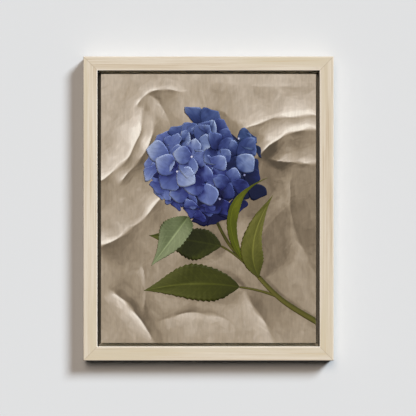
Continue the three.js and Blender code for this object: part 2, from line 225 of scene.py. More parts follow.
def maple(name, axis, offset, step_dark, step_light):
    finish = Finish(name, gloss=0.35)
    place = finish.place()
    shifted = (offset, 3 * offset, 7 * offset)
    drift = finish.grain(place, axis, 2.2, 34, shifted, detail=2)
    streaks = finish.grain(place, axis, 5, 330, shifted, detail=4, roughness=0.6)
    fine = finish.grain(place, axis, 16, 1100, shifted, detail=2)
    pores = finish.rising(finish.grain(place, axis, 55, 1500, shifted), 0.62, 0.72)
    tone = streaks * 0.55 + drift * 0.25 + fine * 0.2
    wood = finish.ramp(
        tone,
        (0.36, seen_as(197, 176, 148)),
        (0.45, seen_as(213, 197, 173)),
        (0.52, seen_as(219, 205, 184)),
        (0.62, seen_as(228, 216, 197)),
    )
    wood = finish.mix(wood, seen_as(190, 166, 134), pores * 0.45)
    wood = finish.mix(wood, seen_as(206, 191, 160), finish.rising(drift, 0.50, 0.66) * 0.55)
    wood = finish.mix(wood, seen_as(198, 168, 120), finish.rising(streaks + drift, 1.10, 1.32) * 0.5)

    x, y, z = finish.axes(place)
    from_side = frame_size.x / 2 - abs(x)
    from_end = frame_size.z / 2 - abs(z - frame_middle.z)
    inward = from_side.lower_of(from_end)
    mitre = finish.rising(abs(from_side - from_end), 0.9 * MM, 0.2 * MM)
    wood = finish.mix(wood, seen_as(168, 146, 116), mitre * 0.55)
    # Painted highlight: the eased inner front edge, and more faintly the outer one, is painted near white as
    # if catching the light.
    painted_edge_highlight = finish.rising(inward, FACE_WIDTH - 2.2 * MM, FACE_WIDTH - 0.6 * MM)
    painted_outer_highlight = finish.rising(inward, 2.6 * MM, 1.2 * MM) * 0.4
    painted_edge_highlight = (painted_edge_highlight + painted_outer_highlight) * (y < frame_low.y + 2 * EASED)
    wood = finish.mix(wood, seen_as(252, 240, 226), painted_edge_highlight * 0.75)

    wobble = (drift - 0.5) * MM
    step = (inward > FACE_WIDTH - 0.15 * MM) * (y < frame_high.y - STAIN_END)
    step = step * (y > frame_low.y + EASED + wobble)
    # The step's colour: a dark stain, painted paler on some rails as painted light in the shaded gap.
    step_tone = finish.ramp(streaks, (0.3, step_dark), (0.7, step_light))
    colour = finish.mix(wood, step_tone, step)
    roughness = 0.5 + streaks * 0.14 + step * 0.15
    height = streaks * 0.5 + fine * 0.3 - pores * 0.5
    return finish.show(colour, roughness, height, depth=0.12 * MM, strength=0.45)


# Dark and light ends of the step's tone on each rail: the uprights show the stain, while the paler top,
# bottom and right are painted light, where the gap lies in shade.
STEP_STAINS_AND_PAINTED_LIGHT = {
    "top": (seen_as(206, 200, 184), seen_as(226, 220, 204)),
    "right": (seen_as(120, 117, 108), seen_as(142, 138, 127)),
    "bottom": (seen_as(188, 182, 166), seen_as(210, 204, 188)),
    "left": (seen_as(98, 95, 86), seen_as(120, 116, 105)),
}
for turn, (side, axis) in enumerate(RAILS.items()):
    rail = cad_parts[f"frame_rail_{side}"]
    coat(rail, maple(f"maple_{side}", axis, 0.37 * turn, *STEP_STAINS_AND_PAINTED_LIGHT[side]))

# ---- Stretcher bars and corner keys -------------------------------------------------------
# Planed pine bars, tongued into each other at the mitres, with a raised bead round the outside
# that keeps the cloth off the wood. Beech keys are tapped into the corners to tighten the cloth.
PINE_TONES = (seen_as(224, 194, 150), seen_as(200, 160, 112))
BEECH_TONES = (seen_as(206, 170, 128), seen_as(186, 144, 102))


def pine(name, axis, offset, light, dark):
    finish = Finish(name, gloss=0.3)
    place = finish.place()
    shifted = (offset, 2 * offset, 5 * offset)
    warp = finish.grain(place, axis, 5, 40, shifted, detail=3)
    rings = finish.grain(place, axis, 3, 210, shifted, detail=2, distortion=0.6)
    fine = finish.grain(place, axis, 25, 1400, shifted, detail=2)
    tone = rings * 0.6 + warp * 0.25 + fine * 0.15
    wood = finish.ramp(tone, (0.36, dark), (0.5, light), (0.6, light), (0.68, dark))
    knots = finish.node(
        "ShaderNodeTexVoronoi",
        None,
        {"Vector": finish.stretched(place, along(axis, 7, 18), shifted), "Scale": 1.0},
    )
    knot = finish.rising(knots, 0.16, 0.06)
    wood = finish.mix(wood, seen_as(128, 84, 48), knot * 0.8)
    return finish.show(wood, 0.62 + fine * 0.2, tone + knot * 0.4, depth=0.2 * MM, strength=0.5)


for turn, (side, axis) in enumerate(RAILS.items()):
    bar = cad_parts[f"stretcher_bar_{side}"]
    coat(bar, pine(f"pine_{side}", axis, 0.53 * turn, *PINE_TONES))
    key_axis = "Z" if axis == "X" else "X"
    for number in (1, 2):
        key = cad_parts[f"corner_key_{side}_{number}"]
        coat(key, pine(f"beech_{side}_{number}", key_axis, 0.9 + turn + number, *BEECH_TONES))

# ---- Canvas -------------------------------------------------------------------------------
# One cut of primed cotton duck, pulled over the front and sides of the bars and folded in behind
# them. The folds meet at a mitre in each corner, and the cut edge is left raw.
CLOTH = 0.8 * MM
FOLD = 28 * MM
EDGE_ROUND = 1.1 * MM
LEDGE_OVERLAP = 13.5 * MM  # how far in the frame's ledge holds the fold down

canvas_low, canvas_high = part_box("canvas")
canvas_middle = (canvas_low + canvas_high) / 2
canvas_size = canvas_high - canvas_low


def deselect_all():
    if bpy.context.mode != "OBJECT":
        bpy.ops.object.mode_set(mode="OBJECT")
    bpy.ops.object.select_all(action="DESELECT")


def pick(obj, part, chosen):
    """Selects the vertices, edges or polygons that a test chooses, and nothing else."""
    bpy.ops.object.mode_set(mode="EDIT")
    bpy.ops.mesh.select_all(action="DESELECT")
    bpy.ops.mesh.select_mode(type={"vertices": "VERT", "edges": "EDGE", "polygons": "FACE"}[part])
    bpy.ops.object.mode_set(mode="OBJECT")
    for item in getattr(obj.data, part):
        item.select = chosen(item)
    bpy.ops.object.mode_set(mode="EDIT")


def finish_piece(obj, name, material):
    """Puts a shaped piece's place in its mesh, names it and fastens it to the picture."""
    if bpy.context.mode != "OBJECT":
        bpy.ops.object.mode_set(mode="OBJECT")
    deselect_all()
    obj.select_set(True)
    bpy.context.view_layer.objects.active = obj
    bpy.ops.object.transform_apply(location=True, rotation=True, scale=True)
    obj.name = name
    coat(obj, material)
    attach(obj, "root")


def apply_modifier(obj, kind, **settings):
    modifier = obj.modifiers.new(kind.title(), kind)
    for name, value in settings.items():
        setattr(modifier, name, value)
    bpy.context.view_layer.objects.active = obj
    bpy.ops.object.modifier_apply(modifier=modifier.name)


def duck():
    """Plain weave: raw threads on the back, white primer outside, paint just over the edges."""
    finish = Finish("cotton_duck", gloss=0.2)
    x, y, z = finish.axes(finish.place())
    pitch = 1.15 * MM
    weave = (x * (math.tau / pitch)).sine() * (z * (math.tau / pitch)).sine() * 0.5 + 0.5
    slubs = finish.noise(finish.stretched(finish.place(), (60, 60, 900)), detail=2)
    mottle = finish.noise(finish.place(), scale=22)
    raw = finish.ramp(slubs, (0.35, seen_as(196, 182, 154)), (0.65, seen_as(222, 211, 188)))
    raw = finish.mix(raw, seen_as(170, 152, 122), weave * 0.3 + mottle * 0.12)
    primer = finish.ramp(mottle, (0.3, seen_as(232, 229, 221)), (0.7, seen_as(240, 238, 232)))
    ragged = canvas_low.y + 3.4 * MM + (slubs - 0.5) * (3 * MM)
    daubed = (y < ragged) * (y < canvas_low.y + 6 * MM)
    cross = abs(x) - (canvas_size.x / 2 - CLOTH * 0.6)
    rise = abs(z - canvas_middle.z) - (canvas_size.z / 2 - CLOTH * 0.6)
    outside = cross.higher_of(rise) > 0
    colour = finish.mix(raw, primer, outside)
    paint = finish.ramp(mottle, (0.3, seen_as(136, 122, 103)), (0.7, seen_as(168, 152, 132)))
    front = y < canvas_low.y + CLOTH * 0.6
    colour = finish.mix(colour, paint, daubed * outside.higher_of(front))
    return finish.show(colour, 0.86, weave + slubs * 0.6, depth=0.25 * MM, strength=0.6)


def free_edge(cloth):
    """Where the cloth's selected edge runs."""
    cloth.update_from_editmode()
    return [vertex.co.copy() for vertex in cloth.data.vertices if vertex.select]


def fold_in(cloth, distance):
    """Carries the free edge inwards, as another strip of the fold."""
    bpy.ops.mesh.extrude_edges_move()
    edge = free_edge(cloth)
    width, height = (max(p[k] for p in edge) - min(p[k] for p in edge) for k in (0, 2))
    shares = (1 - 2 * distance / width, 1, 1 - 2 * distance / height)
    bpy.ops.transform.resize(value=shares, center_override=(0, edge[0].y, canvas_middle.z))


def stretch_canvas():
    deselect_all()
    bpy.ops.mesh.primitive_cube_add(size=1, location=canvas_middle, scale=canvas_size - Vector((CLOTH,) * 3))
    cloth = bpy.context.object
    bpy.ops.object.transform_apply(location=True, rotation=True, scale=True)
    behind = canvas_high.y - CLOTH / 2 - 0.01 * MM

    def at_back(edge):
        return all(cloth.data.vertices[v].co.y > behind for v in edge.vertices)

    pick(cloth, "polygons", lambda face: face.normal.y > 0.9)
    bpy.ops.mesh.delete(type="ONLY_FACE")
    pick(cloth, "edges", lambda edge: not at_back(edge))
    bpy.ops.mesh.bevel(offset=EDGE_ROUND, segments=3, affect="EDGES")
    pick(cloth, "edges", at_back)
    fold_in(cloth, FOLD - CLOTH / 2)
    pick(cloth, "polygons", lambda face: face.normal.y > 0.9)
    bpy.ops.mesh.subdivide(number_cuts=28)
    bpy.ops.mesh.select_all(action="SELECT")
    bpy.ops.mesh.normals_make_consistent(inside=False)
    bpy.ops.object.mode_set(mode="OBJECT")
    return cloth


def pucker(cloth):
    """The fold lifts a little between staples, and its cut edge isn't straight."""
    for vertex in cloth.data.vertices:
        x, y, z = vertex.co
        if y < canvas_high.y - CLOTH:
            continue
        inset = min(canvas_size.x / 2 - abs(x), canvas_size.z / 2 - abs(z - canvas_middle.z))
        ripple = noise.noise(Vector((x, z, 0)) * 38) + 0.5 * noise.noise(Vector((x, z, 3)) * 90)
        free = min(max((inset - LEDGE_OVERLAP) / (FOLD - LEDGE_OVERLAP), 0), 1)
        vertex.co.y += 0.32 * MM * free * max(ripple + 0.2, 0)
        inward = Vector((-x / canvas_size.x, 0, (canvas_middle.z - z) / canvas_size.z))
        vertex.co += inward.normalized() * 0.9 * MM * free ** 4 * noise.noise(Vector((x, 5, z)) * 140)


cloth = stretch_canvas()
pucker(cloth)
apply_modifier(cloth, "SOLIDIFY", thickness=CLOTH, offset=0, use_even_offset=True)
finish_piece(cloth, "canvas_cloth", duck())
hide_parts("canvas")

# ---- Screws, staples, mitre nails and hanger ----------------------------------------------
# Plated steel. Staples hold the cloth's fold, screws go through the frame's ledge into the bars,
# mitre nails close the corners, and the toothed strip on the top rail catches the wall nail.


def zinc(name, light, dark):
    finish = Finish(name, metal=1.0)
    place = finish.place()
    spangle = finish.noise(place, scale=900, detail=3)
    drawn = finish.noise(finish.stretched(place, (180, 900, 2600)), detail=2)
    colour = finish.ramp(spangle * 0.6 + drawn * 0.4, (0.35, dark), (0.62, light))
    return finish.show(colour, 0.28 + spangle * 0.22, drawn, depth=0.05 * MM, strength=0.3)


plated = zinc("zinc_plated_steel", (0.78, 0.78, 0.76, 1), (0.52, 0.53, 0.55, 1))
brassed = zinc("brass_plated_steel", (0.80, 0.62, 0.30, 1), (0.60, 0.44, 0.20, 1))
for name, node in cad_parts.items():
    if name.startswith(("fixing_screw", "staple", "mitre_nail")):
        coat(node, plated)
    if name.startswith(("sawtooth_hanger", "hanger_nail")):
        coat(node, brassed)

# ---- Painted sprig, as the painter saw it -------------------------------------------------
# The flower is first set out in the round on the plane of the canvas, lit from the left, and that
# light gives each part its colours. It is then pressed flat into thin layers of paint.
PRESS = 0.010  # the share of its height that a part keeps once it is pressed into paint
FILM = 0.16 * MM  # thickness of a dab of paint
SKETCH_LIGHT = Vector((-0.62, -0.76, 0.14)).normalized()
OPEN_SIDES = [
    Vector((math.cos(a) * r, -1, math.sin(a) * r)).normalized()
    for r, count in ((0.5, 4), (1.4, 7))
    for a in (math.tau * k / count for k in range(count))
]

paint_low, paint_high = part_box("paint_layer")
GROUND = paint_low.y + 0.12 * MM  # the mean surface of the painted ground
draw = random.Random(7)
noise.seed_set(4)  # for the noise that bends the folds, which would differ in each run without it


def at(across, down, height=0.0):
    """A place on the canvas, by its shares across and down, and how far it stands forward."""
    x = canvas_low.x + across * canvas_size.x
    z = canvas_high.z - down * canvas_size.z
    return Vector((x, -height, z))


def front_of(mesh):
    """The points and faces of the side that a round part turns to the front."""
    shown = [face.vertices for face in mesh.polygons if face.normal.y < -0.02]
    used = sorted({v for face in shown for v in face})
    places = {v: k for k, v in enumerate(used)}
    faces = [tuple(places[v] for v in face) for face in shown]
    return np.array([mesh.vertices[v].co for v in used]), faces


class Sketch:
    """A part of the sprig in the round: points, faces, and each point's place in a brush stroke."""

    def __init__(self, points, faces, stroke, kind, tint=0.0):
        self.points = points
        self.kind = kind
        self.tint = tint
        self.stroke = stroke
        away = sum(np.cross(points[f[1]] - points[f[0]], points[f[2]] - points[f[0]])[1] for f in faces)
        self.faces = [tuple(reversed(f)) for f in faces] if away > 0 else faces
        self.normals = self.normals_out()

    def normals_out(self):
        normals = np.zeros_like(self.points)
        for face in self.faces:
            a, b, c = (self.points[face[k]] for k in (0, 1, 2))
            normals[list(face)] += np.cross(b - a, c - a)
        normals[normals[:, 1] > 0] *= -1
        return normals / np.maximum(np.linalg.norm(normals, axis=1, keepdims=True), 1e-12)

    def rim(self):
        """The open edges, each in the direction that its one face runs."""
        count = {}
        for face in self.faces:
            for a, b in zip(face, face[1:] + face[:1]):
                count[frozenset((a, b))] = None if frozenset((a, b)) in count else (a, b)
        return [edge for edge in count.values() if edge]


# ---- Painted bloom ------------------------------------------------------------------------
# A mophead of four-petalled florets over a low dome, dark at its heart. Petals are broad, cupped
# and bluntly pointed, and some of the florets show their small pale eye.
BLOOM = at(0.478, 0.345)
BLOOM_REACH = Vector((0.113, 0.085, 0.104))
FLORETS = 30
PETAL = 35 * MM
PETAL_SIDES = 20
STALK = 20 * MM  # how far the florets stand forward of the dome
EDGE_ON = 0.34  # petals that face the front less than this are left out


def shape_petal():
    """One petal along +Y, open towards +Z, 1 unit from the floret's eye to its tip."""
    deselect_all()
    middle = (0, 0.52, 0)
    bpy.ops.mesh.primitive_circle_add(vertices=PETAL_SIDES, radius=0.5, fill_type="NGON", location=middle)
    petal = bpy.context.object
    bpy.ops.object.transform_apply(location=True, rotation=True, scale=True)
    pick(petal, "polygons", lambda face: True)
    bpy.ops.mesh.inset(thickness=0.09)
    bpy.ops.mesh.inset(thickness=0.17)
    bpy.ops.mesh.poke()
    bpy.ops.object.mode_set(mode="OBJECT")
    return petal


def petal_form():
    """The petal's points and faces, once it is widened, cupped and pointed."""
    petal = shape_petal()
    points = []
    for vertex in petal.data.vertices:
        x, y, _ = vertex.co
        reach = min(max(y, 0), 1.02)
        x *= 0.50 + 1.26 * reach - 0.92 * reach ** 3
        point = 0.09 * math.exp(-(x / 0.14) ** 2) * (reach > 0.9)
        cup = 0.34 * reach - 0.42 * reach ** 2 + 0.42 * x * x
        ripple = 0.04 * math.sin(5 * math.atan2(x, y - 0.5) + 1) * (abs(x) + abs(y - 0.5))
        points.append((x, y + point, cup + ripple))
    faces = [tuple(face.vertices) for face in petal.data.polygons]
    bpy.data.objects.remove(petal)
    return np.array(points), faces


def floret_places():
    """Even places over the front of the mophead, each with the way it faces."""
    turn = math.pi * (3 - math.sqrt(5))
    for k in range(FLORETS):
        forward = 1 - (k + 0.5) / FLORETS * 1.10
        ring = math.sqrt(max(1 - forward * forward, 0))
        angle = k * turn
        normal = Vector((ring * math.cos(angle), -forward, ring * math.sin(angle)))
        swell = 0.80 * (1 + draw.uniform(-0.13, 0.10))
        place = BLOOM + Vector(normal[i] * BLOOM_REACH[i] * swell for i in range(3))
        place.y -= STALK
        loose = Vector(draw.uniform(-0.38, 0.38) for _ in range(3))
        yield place, (normal * 0.8 + Vector((0, -0.35, 0)) + loose).normalized()


FLORET_PLACES = list(floret_places())
OPEN_FLORETS = FLORET_PLACES[1:FLORETS * 2 // 3:3]


def spread_petals():
    points, faces = petal_form()
    for place, normal in FLORET_PLACES:
        facing = normal.to_track_quat("Z", "Y").to_matrix()
        spin = draw.uniform(0, math.tau)
        size = PETAL * draw.uniform(0.9, 1.16)
        hue = 0.2 + 7 * (place.x - BLOOM.x) + 6 * (place.z - BLOOM.z) + draw.uniform(-0.3, 0.3)
        hue = min(max(hue, 0), 1)
        for quarter in range(4):
            lean = draw.uniform(-0.15, 0.45)
            turned = Matrix.Rotation(spin + quarter * math.pi / 2 + draw.uniform(-0.12, 0.12), 3, "Z")
            tipped = Matrix.Rotation(lean, 3, "Y") @ Matrix.Rotation(draw.uniform(-0.2, 0.55), 3, "X")
            petal = (points * size * draw.uniform(0.85, 1.1)) @ np.array(facing @ turned @ tipped).T
            stroke = np.column_stack((points[:, 0], points[:, 1], np.full(len(points), draw.uniform(0, 50))))
            sketch = Sketch(petal + np.array(place), faces, stroke, "petal", hue)
            if abs(sketch.normals[:, 1].mean()) > EDGE_ON:
                yield sketch


def eye(place, normal):
    """The small pale eye in the middle of a floret."""
    deselect_all()
    bpy.ops.mesh.primitive_ico_sphere_add(subdivisions=2, radius=2.1 * MM)
    ball = bpy.context.object
    middle = place + normal * 5 * MM + Vector((0, -6 * MM, 0))
    points, faces = front_of(ball.data)
    bpy.data.objects.remove(ball)
    return Sketch(points + np.array(middle), faces, points * 500, "eye")


def heart_of_bloom():
    """The shade inside the mophead, where the stalks of the florets meet."""
    deselect_all()
    bpy.ops.mesh.primitive_ico_sphere_add(subdivisions=4, radius=1)
    bpy.ops.transform.resize(value=(0.76 * BLOOM_REACH.x, 0.40 * BLOOM_REACH.y, 0.76 * BLOOM_REACH.z))
    bpy.ops.object.transform_apply(location=True, rotation=True, scale=True)
    dome = bpy.context.object
    points, faces = front_of(dome.data)
    bpy.data.objects.remove(dome)
    return Sketch(points + np.array(BLOOM), faces, points * 20, "heart")


petals = list(spread_petals())
eyes = [eye(place, normal) for place, normal in OPEN_FLORETS]
heart = heart_of_bloom()

# ---- Painted leaves and stem --------------------------------------------------------------
# Hydrangea leaves are broad, pointed and toothed, with a pale midrib, and grow in opposite pairs
# from a green stem that runs off the lower right of the picture.
LEAF_ROWS = 72
LEAF_COLUMNS = 14
LEAVES = [
    # root, bend and tip (shares across and down, and height), half width, roll, kind
    ((0.56, 0.640, 0.016), (0.42, 0.615, 0.040), (0.225, 0.600, 0.010), 31 * MM, -0.35, "deep_leaf"),
    ((0.405, 0.530, 0.050), (0.36, 0.585, 0.094), (0.235, 0.712, 0.046), 28 * MM, 0.30, "pale_leaf"),
    ((0.645, 0.792, 0.012), (0.43, 0.762, 0.050), (0.200, 0.805, 0.012), 36 * MM, 0.25, "mid_leaf"),
    ((0.665, 0.700, 0.014), (0.50, 0.470, 0.100), (0.775, 0.385, 0.110), 13 * MM, 0.75, "bright_leaf"),
    ((0.735, 0.755, 0.012), (0.655, 0.640, 0.060), (0.800, 0.450, 0.045), 24 * MM, -0.55, "olive_leaf"),
]
FORK = (0.735, 0.755, 0.010)
STEMS = [
    # radius at the start and at the end, and waypoints (shares across and down, and height)
    (2.6 * MM, 3.4 * MM, [(0.48, 0.44, 0), (0.56, 0.60, 0.004), (0.665, 0.700, 0.012), FORK]),
    (4.0 * MM, 5.6 * MM, [FORK, (0.80, 0.815, 0.010), (0.90, 0.875, 0.010), (1.015, 0.926, 0.010)]),
    (1.7 * MM, 2.2 * MM, [(0.56, 0.640, 0.016), (0.61, 0.66, 0.014), (0.665, 0.700, 0.012)]),
    (1.7 * MM, 2.6 * MM, [(0.645, 0.792, 0.012), (0.73, 0.800, 0.012), (0.81, 0.824, 0.010)]),
]


def bezier(start, bend, end, t):
    return (1 - t) ** 2 * start + 2 * t * (1 - t) * bend + t * t * end


def set_out(name, data):
    """A new object in the scene, with this mesh, curve, lamp or camera in it."""
    obj = bpy.data.objects.new(name, data)
    bpy.context.scene.collection.objects.link(obj)
    return obj


def leaf_sketch(root, bend, tip, half_width, roll, kind):
    root, bend, tip = (at(*place) for place in (root, bend, tip))
    deselect_all()
    bpy.ops.mesh.primitive_grid_add(x_subdivisions=LEAF_COLUMNS, y_subdivisions=LEAF_ROWS, size=2)
    blade = bpy.context.object
    points, stroke = [], []
    shift = draw.uniform(0, 50)
    for vertex in blade.data.vertices:
        across = vertex.co.x
        t = (vertex.co.y + 1) / 2
        spine = bezier(root, bend, tip, t)
        run = (bezier(root, bend, tip, t + 0.01) - bezier(root, bend, tip, t - 0.01)).normalized()
        side = run.cross(Vector((0, -1, 0))).normalized()
        side = Matrix.Rotation(roll * (0.5 + t), 3, run) @ side
        up = side.cross(run).normalized()
        up = up if up.y < 0 else -up
        sway = 1 + 0.09 * math.sin(7 * t + shift + 1.4 * across)
        width = 0.3 * MM + half_width * sway * math.sin(math.pi * t ** 0.84) ** 1.15 * (1.14 - 0.24 * t)
        tooth = 1 - 0.10 * ((t * (19 + across)) % 1) * (0.06 < t < 0.95)
        wave = 0.10 * math.sin(11 * t + 2 * across) * abs(across)
        fold = 0.50 * abs(across) - 0.22 * across * across + wave
        points.append(spine + side * across * width * tooth + up * fold * width)
        stroke.append((across, t, shift))
    faces = [tuple(face.vertices) for face in blade.data.polygons]
    bpy.data.objects.remove(blade)
    return Sketch(np.array(points), faces, np.array(stroke), kind)


def stem_sketch(start, end, waypoints):
    """A round stem through its waypoints, as a curve with thickness that is made a mesh."""
    curve = bpy.data.curves.new("stem", "CURVE")
    curve.dimensions = "3D"
    curve.bevel_depth = 1.0
    curve.bevel_resolution = 2
    spline = curve.splines.new("NURBS")
    spline.points.add(len(waypoints) - 1)
    for k, (point, place) in enumerate(zip(spline.points, waypoints)):
        point.co = (*at(*place), 1)
        point.radius = start + (end - start) * k / (len(waypoints) - 1)
    spline.order_u = 3
    spline.use_endpoint_u = True
    stem = set_out("stem", curve)
    mesh = bpy.data.meshes.new_from_object(stem.evaluated_get(bpy.context.evaluated_depsgraph_get()))
    points, faces = front_of(mesh)
    bpy.data.objects.remove(stem)
    points[:, 0] = np.minimum(points[:, 0], paint_high.x - 0.2 * MM)
    run = points @ np.array((at(1, 1) - at(0, 0)).normalized())
    across = points @ np.array((at(1, 0) - at(0, 1)).normalized())
    stroke = np.column_stack((across * 200, run * 12, np.full(len(points), draw.uniform(0, 50))))
    return Sketch(points, faces, stroke, "stem")


leaves = [leaf_sketch(*leaf) for leaf in LEAVES]
stems = [stem_sketch(*stem) for stem in STEMS]

# ---- Light and colour in the picture ------------------------------------------------------
# The painter's tones: what faces the light is pale, what turns away or lies in the shade of
# another part is deep. Each kind of part runs through its own row of mixed colours.
UNDERSIDE_SHADE = 0.26  # how much deeper the lower right of the mophead is
SIGHT = 0.3  # how near a part has to be to shade another, in metres
PETAL_TONES = (0.00, 0.20, 0.40, 0.58, 0.78, 1.00)
LEAF_TONES = (0.00, 0.35, 0.65, 1.00)
PALETTES = {
    # tones from 0, deep, to 1, pale, and the paint that is mixed for each
    "petal": (
        PETAL_TONES,
        [(15, 17, 56), (30, 34, 92), (54, 62, 119), (78, 90, 145), (106, 119, 167), (156, 167, 197)],
    ),
    "slate_petal": (
        PETAL_TONES,
        [(12, 22, 46), (25, 40, 76), (48, 66, 108), (76, 93, 134), (114, 130, 164), (166, 177, 198)],
    ),
    "heart": ((0.0, 0.5, 1.0), [(14, 16, 48), (30, 35, 88), (52, 60, 116)]),
    "eye": ((0.0, 0.4, 1.0), [(120, 124, 168), (190, 190, 216), (240, 238, 246)]),
    "pale_leaf": (LEAF_TONES, [(40, 46, 20), (72, 81, 46), (102, 111, 76), (146, 153, 116)]),
    "deep_leaf": (LEAF_TONES, [(22, 24, 5), (45, 48, 13), (68, 72, 24), (98, 100, 46)]),
    "mid_leaf": (LEAF_TONES, [(21, 22, 3), (39, 41, 7), (59, 61, 15), (102, 103, 52)]),
    "olive_leaf": (LEAF_TONES, [(36, 37, 9), (58, 59, 16), (80, 80, 27), (122, 119, 58)]),
    "bright_leaf": (LEAF_TONES, [(56, 60, 8), (86, 91, 15), (114, 117, 29), (152, 152, 72)]),
    "stem": (LEAF_TONES, [(38, 37, 9), (62, 60, 17), (84, 80, 29), (128, 119, 65)]),
    "linen": (
        (0.00, 0.20, 0.38, 0.52, 0.68, 0.84, 1.00),
        [(82, 71, 57), (118, 103, 84), (146, 130, 109), (165, 149, 129), (187, 172, 154)]
        + [(212, 198, 182), (238, 227, 212)],
    ),
}


def mixed(tones, kind):
    stops, paints = PALETTES[kind]
    paints = np.array([seen_as(*paint) for paint in paints])
    return np.column_stack([np.interp(tones, stops, paints[:, k]) for k in range(4)])


def tree_of(parts):
    points = np.concatenate([part.points for part in parts])
    starts = np.cumsum([0] + [len(part.points) for part in parts])
    faces = []
    for start, part in zip(starts, parts):
        faces += [tuple(int(start + v) for v in face) for face in part.faces]
    return BVHTree.FromPolygons([Vector(point) for point in points], faces)


def openness(tree, point, directions, start=1.6 * MM):
    """The share of directions in which a point sees past every part."""
    clear = sum(tree.ray_cast(point + way * start, way, SIGHT)[0] is None for way in directions)
    return clear / len(directions)


def soft_light(spread, count):
    """Directions about the painter's light, as from a window."""
    strays = [Vector(draw.uniform(-spread, spread) for _ in range(3)) for _ in range(count)]
    return [(SKETCH_LIGHT + stray).normalized() for stray in strays]


def paint_part(part, tree):
    """Gives each point of a part its colour."""
    window = soft_light(0.16, 4)
    lit, open_sky = [], []
    for point, normal in zip(part.points, part.normals):
        point = Vector(point) + Vector(normal) * (0.4 * MM)
        lit.append(max(Vector(normal).dot(SKETCH_LIGHT), 0) * openness(tree, point, window))
        open_sky.append(openness(tree, point, OPEN_SIDES))
    lit, open_sky = np.array(lit), np.array(open_sky)
    if part.kind == "petal":
        rim = np.clip(part.stroke[:, 1], 0, 1)
        edge = np.arange(len(part.points)) < PETAL_SIDES
        tones = 0.46 * lit + 0.52 * open_sky * (0.45 + 0.55 * rim ** 2) + 0.20 * edge * lit
        tones += draw.gauss(-0.01, 0.07)
        from_middle = part.points - np.array(BLOOM)
        under = 0.4 * from_middle[:, 0] - 0.9 * from_middle[:, 2]
        tones -= UNDERSIDE_SHADE * np.clip((under - 0.03) / 0.04, 0, 1)
        shade = mixed(tones, "petal")
        slate = mixed(tones, "slate_petal")
        part.colours = shade + (slate - shade) * part.tint
    else:
        tones = -0.02 + 0.60 * lit + 0.26 * open_sky
        part.colours = mixed(tones, part.kind)


sprig = petals + eyes + leaves + stems + [heart]
shade_tree = tree_of(sprig)
for part in sprig:
    paint_part(part, shade_tree)

# ---- Layers of paint ----------------------------------------------------------------------
# Acrylic laid on in thin dabs that stand a little proud of the ground. Every dab is a closed
# film of paint, its bristle marks running the way the brush went.


def painted(name, across, lengthwise, streaks=0.36, veins=False):
    """The painted colours, broken by bristle marks along each stroke and by the cloth beneath."""
    finish = Finish(name, gloss=0.14)
    colour = finish.node("ShaderNodeAttribute", {"attribute_name": "paint"})
    stroke = finish.node("ShaderNodeAttribute", {"attribute_name": "stroke"}, output=1)
    bristles = finish.noise(finish.stretched(stroke, (across, lengthwise, 1)), detail=3, roughness=0.6)
    place = finish.place()
    x, _, z = finish.axes(place)
    pitch = math.tau / (1.9 * MM)
    threads = (x * pitch).sine() * (z * pitch).sine()
    blotch = finish.noise(place, scale=120, detail=3)
    drag = finish.noise(finish.stretched(place, (620, 620, 42)), detail=3)
    patches = finish.noise(place, scale=52, detail=2)
    value = 0.87 + (bristles - 0.5) * streaks + (drag - 0.5) * 0.12
    value = value + blotch * 0.12 + patches * 0.16 + threads * 0.015
    if veins:
        over, run, _ = finish.axes(stroke)
        slant = run * 9 - abs(over) * 1.7
        side_vein = abs(slant.math("FRACT", slant) - 0.5)
        vein = finish.rising(side_vein, 0.09, 0.02) * finish.rising(abs(over), 1.0, 0.7)
        midrib = finish.rising(abs(over), 0.075, 0.03)
        value = value + vein * 0.16 + midrib * 0.55 - finish.rising(over, -0.1, 0.5) * 0.10
    grey = finish.node("ShaderNodeCombineColor", None, {0: value, 1: value, 2: value})
    colour = finish.mix(colour, grey, 1.0, "MULTIPLY")
    height = bristles * 0.6 + drag * 0.3 + threads * 0.25
    return finish.show(colour, 0.52 + blotch * 0.16, height, depth=0.16 * MM, strength=0.55)


def brush_on(mesh, colours, strokes):
    """Keeps each point's paint, and its place in its brush stroke, with the mesh."""
    paint = mesh.color_attributes.new("paint", "FLOAT_COLOR", "POINT")
    paint.data.foreach_set("color", colours.ravel())
    stroke = mesh.attributes.new("stroke", "FLOAT_VECTOR", "POINT")
    stroke.data.foreach_set("vector", strokes.ravel())


def lay_on(name, parts, material, lift):
    """Presses parts of the sketch into one piece of paint, lift above the ground."""
    points, faces, colours, strokes, smooth = [], [], [], [], []
    for part in parts:
        start = sum(len(chunk) for chunk in points)
        count = len(part.points)
        front = part.points.copy()
        front[:, 1] = GROUND - lift + PRESS * front[:, 1]
        back = front + np.array((0, FILM, 0))
        points += [front, back]
        faces += [tuple(start + v for v in face) for face in part.faces]
        faces += [tuple(start + count + v for v in reversed(face)) for face in part.faces]
        rim = part.rim()
        faces += [(start + b, start + a, start + count + a, start + count + b) for a, b in rim]
        smooth += [True] * (2 * len(part.faces)) + [False] * len(rim)
        colours += [part.colours, part.colours]
        strokes += [part.stroke, part.stroke]
    mesh = bpy.data.meshes.new(name)
    mesh.from_pydata(np.concatenate(points), [], faces)
    brush_on(mesh, np.concatenate(colours), np.concatenate(strokes))
    mesh.polygons.foreach_set("use_smooth", smooth)
    finish_piece(set_out(name, mesh), name, material)


lay_on("painted_stem", stems, painted("stem_paint", 1, 1), 0.22 * MM)
lay_on("painted_leaves", leaves, painted("leaf_paint", 9, 3, streaks=0.50, veins=True), 0.25 * MM)
lay_on("painted_bloom", petals + eyes + [heart], painted("petal_paint", 11, 2.2, streaks=0.70), 0.30 * MM)

